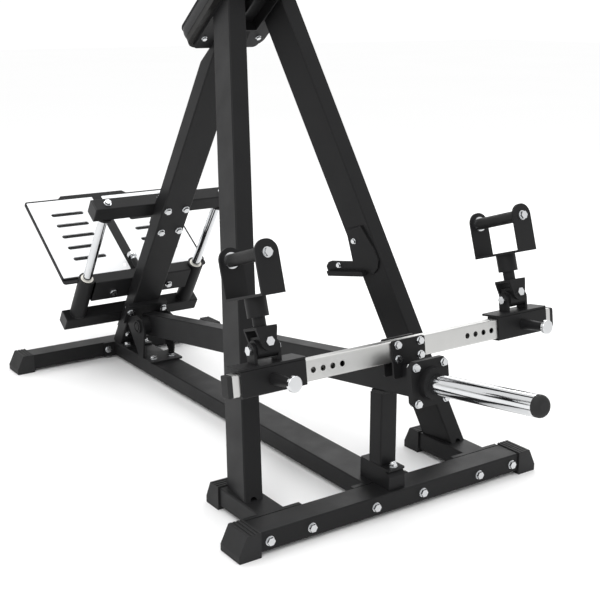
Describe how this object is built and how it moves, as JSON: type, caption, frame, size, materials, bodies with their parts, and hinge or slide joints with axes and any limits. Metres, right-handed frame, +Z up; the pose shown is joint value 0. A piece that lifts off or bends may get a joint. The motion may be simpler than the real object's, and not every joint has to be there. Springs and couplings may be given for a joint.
{
  "type": "incline lever row machine",
  "caption": "Plate-loaded incline lever row: A-frame with chest pad, hinged lever with weight horn, sliding swivel handles and an adjustable foot platform.",
  "frame": {"origin": "on the floor under the centre of the bounding box", "axes": "+X to the machine's own left-to-right width, +Y from the weight horn to the foot platform, +Z up"},
  "size_m": [0.994, 2.2688, 1.4078],
  "materials": {
    "black_steel": "satin black powder coat",
    "black_rubber": "matt moulded rubber",
    "grip_rubber": "knurled black rubber",
    "black_plastic": "moulded plastic",
    "bush_plastic": "machined bearing plastic",
    "chrome": "hard chrome plate",
    "bright_fastener": "bright zinc plate",
    "satin_chrome": "satin chrome plate",
    "white_tread": "bright textured coat",
    "pad_vinyl": "grained black upholstery vinyl",
    "board": "black-stained plywood"
  },
  "bodies": {
    "frame": {"central_floor_beam": "black_steel", "chest_pad": "pad_vinyl", "floor_end_caps": "black_rubber", "frame_bolts": "bright_fastener", "front_floor_beam": "black_steel", "guide_beam_caps": "black_plastic", "guide_rods": "chrome", "left_foot_beam": "black_steel", "left_leg": "black_steel", "lower_guide_beam": "black_steel", "main_column": "black_steel", "pad_board": "board", "pad_bolts": "bright_fastener", "pad_support": "black_steel", "pivot_bracket": "black_steel", "pivot_shaft": "black_steel", "rear_floor_beam": "black_steel", "right_foot_beam": "black_steel", "right_leg": "black_steel", "rod_buffers": "black_rubber", "rod_collars": "black_steel", "stop_block": "black_steel", "stop_bumper": "black_rubber", "stop_post": "black_steel", "storage_hook": "black_steel", "upper_guide_beam": "black_steel"},
    "lever": {"lever_arm": "black_steel", "pivot_bushes": "bush_plastic", "horn_plate": "black_steel", "weight_horn": "chrome", "horn_cap": "black_rubber", "cross_bar": "satin_chrome", "cross_bar_caps": "black_rubber", "clamp_plate": "black_steel", "lever_bolts": "bright_fastener"},
    "foot_platform": {"platform_carriage": "black_steel", "platform_bushes": "bush_plastic", "platform_frame": "black_steel", "left_tread": "white_tread", "right_tread": "white_tread", "tread_screws": "bright_fastener", "platform_bolts": "bright_fastener"},
    "lock_pin": {"lock_pin": "chrome"},
    "left_slider": {"left_sleeve": "black_steel"},
    "left_pull_pin": {"left_pull_pin": "chrome"},
    "left_joint": {"left_joint_block": "black_steel", "left_joint_pins": "bright_fastener"},
    "left_yoke": {"left_yoke": "black_steel"},
    "left_stirrup": {"left_stirrup": "black_steel", "left_grip_bolt": "bright_fastener"},
    "left_grip": {"left_grip": "grip_rubber"},
    "right_slider": {"right_sleeve": "black_steel"},
    "right_pull_pin": {"right_pull_pin": "chrome"},
    "right_joint": {"right_joint_block": "black_steel", "right_joint_pins": "bright_fastener"},
    "right_yoke": {"right_yoke": "black_steel"},
    "right_stirrup": {"right_stirrup": "black_steel", "right_grip_bolt": "bright_fastener"},
    "right_grip": {"right_grip": "grip_rubber"}
  },
  "joints": [
    {"name": "lever_swing", "type": "hinge", "parent": "frame", "child": "lever", "pos_m": [0, 0.64999, 0.17227], "axis": [-1, 0, 0], "range_deg": [0, 28]},
    {"name": "platform_slide", "type": "slide", "parent": "frame", "child": "foot_platform", "axis": [0, -0.5635, 0.8261], "range_m": [0, 0.24]},
    {"name": "lock_pin_slide", "type": "slide", "parent": "foot_platform", "child": "lock_pin", "axis": [0, 0.8261, 0.5635], "range_m": [-0.0135, 0]},
    {"name": "left_sleeve_slide", "type": "slide", "parent": "lever", "child": "left_slider", "axis": [1, 0, 0], "range_m": [0, 0.1894]},
    {"name": "left_pull_pin_slide", "type": "slide", "parent": "left_slider", "child": "left_pull_pin", "axis": [0, -0.9904, 0.1381], "range_m": [-0.0095, 0]},
    {"name": "left_handle_tilt", "type": "hinge", "parent": "left_slider", "child": "left_joint", "pos_m": [-0.38242, -0.65229, 0.49223], "axis": [1, 0, 0], "range_deg": [-30, 30]},
    {"name": "left_handle_sway", "type": "hinge", "parent": "left_joint", "child": "left_yoke", "pos_m": [-0.38242, -0.64808, 0.50559], "axis": [0, -0.9537, 0.3007], "range_deg": [-20, 20]},
    {"name": "left_handle_swivel", "type": "hinge", "parent": "left_yoke", "child": "left_stirrup", "pos_m": [-0.38242, -0.61922, 0.59714], "axis": [0, 0.3007, 0.9537], "continuous": true},
    {"name": "left_grip_spin", "type": "hinge", "parent": "left_stirrup", "child": "left_grip", "pos_m": [-0.38242, -0.59065, 0.68775], "axis": [0, -0.9537, 0.3007], "continuous": true},
    {"name": "right_sleeve_slide", "type": "slide", "parent": "lever", "child": "right_slider", "axis": [-1, 0, 0], "range_m": [0, 0.1894]},
    {"name": "right_pull_pin_slide", "type": "slide", "parent": "right_slider", "child": "right_pull_pin", "axis": [0, -0.9904, 0.1381], "range_m": [-0.0095, 0]},
    {"name": "right_handle_tilt", "type": "hinge", "parent": "right_slider", "child": "right_joint", "pos_m": [0.38242, -0.65229, 0.49223], "axis": [1, 0, 0], "range_deg": [-30, 30]},
    {"name": "right_handle_sway", "type": "hinge", "parent": "right_joint", "child": "right_yoke", "pos_m": [0.38242, -0.64808, 0.50559], "axis": [0, -0.9537, 0.3007], "range_deg": [-20, 20]},
    {"name": "right_handle_swivel", "type": "hinge", "parent": "right_yoke", "child": "right_stirrup", "pos_m": [0.38242, -0.61922, 0.59714], "axis": [0, 0.3007, 0.9537], "continuous": true},
    {"name": "right_grip_spin", "type": "hinge", "parent": "right_stirrup", "child": "right_grip", "pos_m": [0.38242, -0.59065, 0.68775], "axis": [0, -0.9537, 0.3007], "continuous": true}
  ]
}
